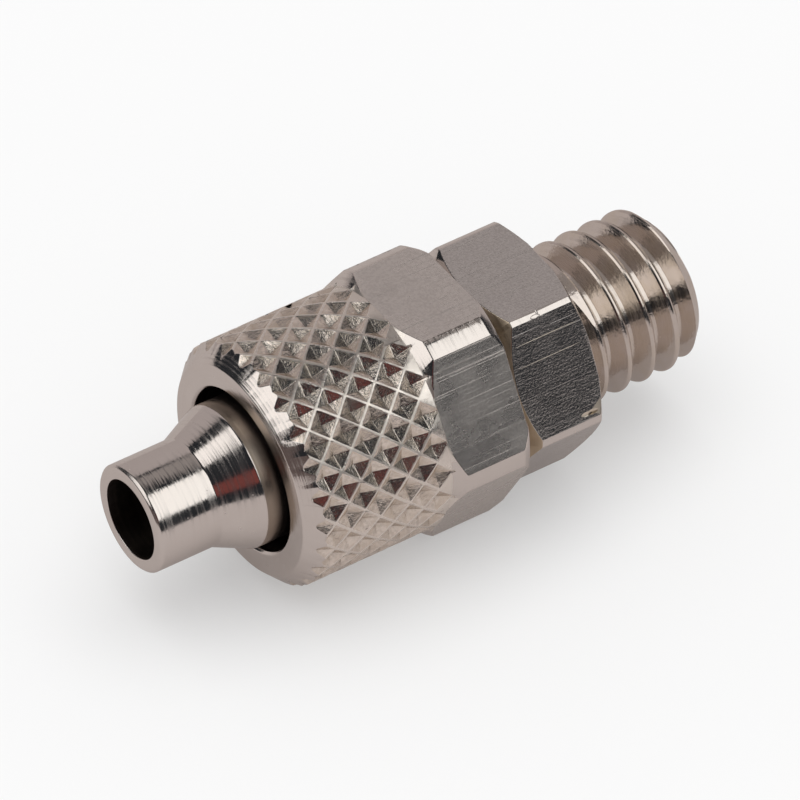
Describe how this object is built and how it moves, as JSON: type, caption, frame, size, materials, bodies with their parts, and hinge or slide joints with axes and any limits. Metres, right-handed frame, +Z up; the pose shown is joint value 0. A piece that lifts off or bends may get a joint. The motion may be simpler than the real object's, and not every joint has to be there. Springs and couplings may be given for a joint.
{
  "type": "push-on hose coupler",
  "caption": "Small plated push-on hose coupler: hose nipple with clamping cone, knurled union nut with a spanner hexagon, and a body hexagon with a male thread.",
  "frame": {"origin": "on the fitting's axis, in the seat face of the body's spanner hexagon from which the male thread rises", "axes": "+X along the axis towards the male thread's end, -X towards the hose nipple, +Z up with the fitting lying on its union nut"},
  "size_m": [0.0222, 0.01, 0.0092],
  "materials": {
    "plated_body": "satin",
    "plated_nut": "satin"
  },
  "bodies": {
    "fitting_body": {"fitting_body": "plated_body"},
    "union_nut": {"union_nut": "plated_nut"}
  },
  "joints": [
    {"name": "nut_unscrew", "type": "slide", "parent": "fitting_body", "child": "union_nut", "axis": [-1, 0, 0], "range_m": [0, 0.015]}
  ]
}
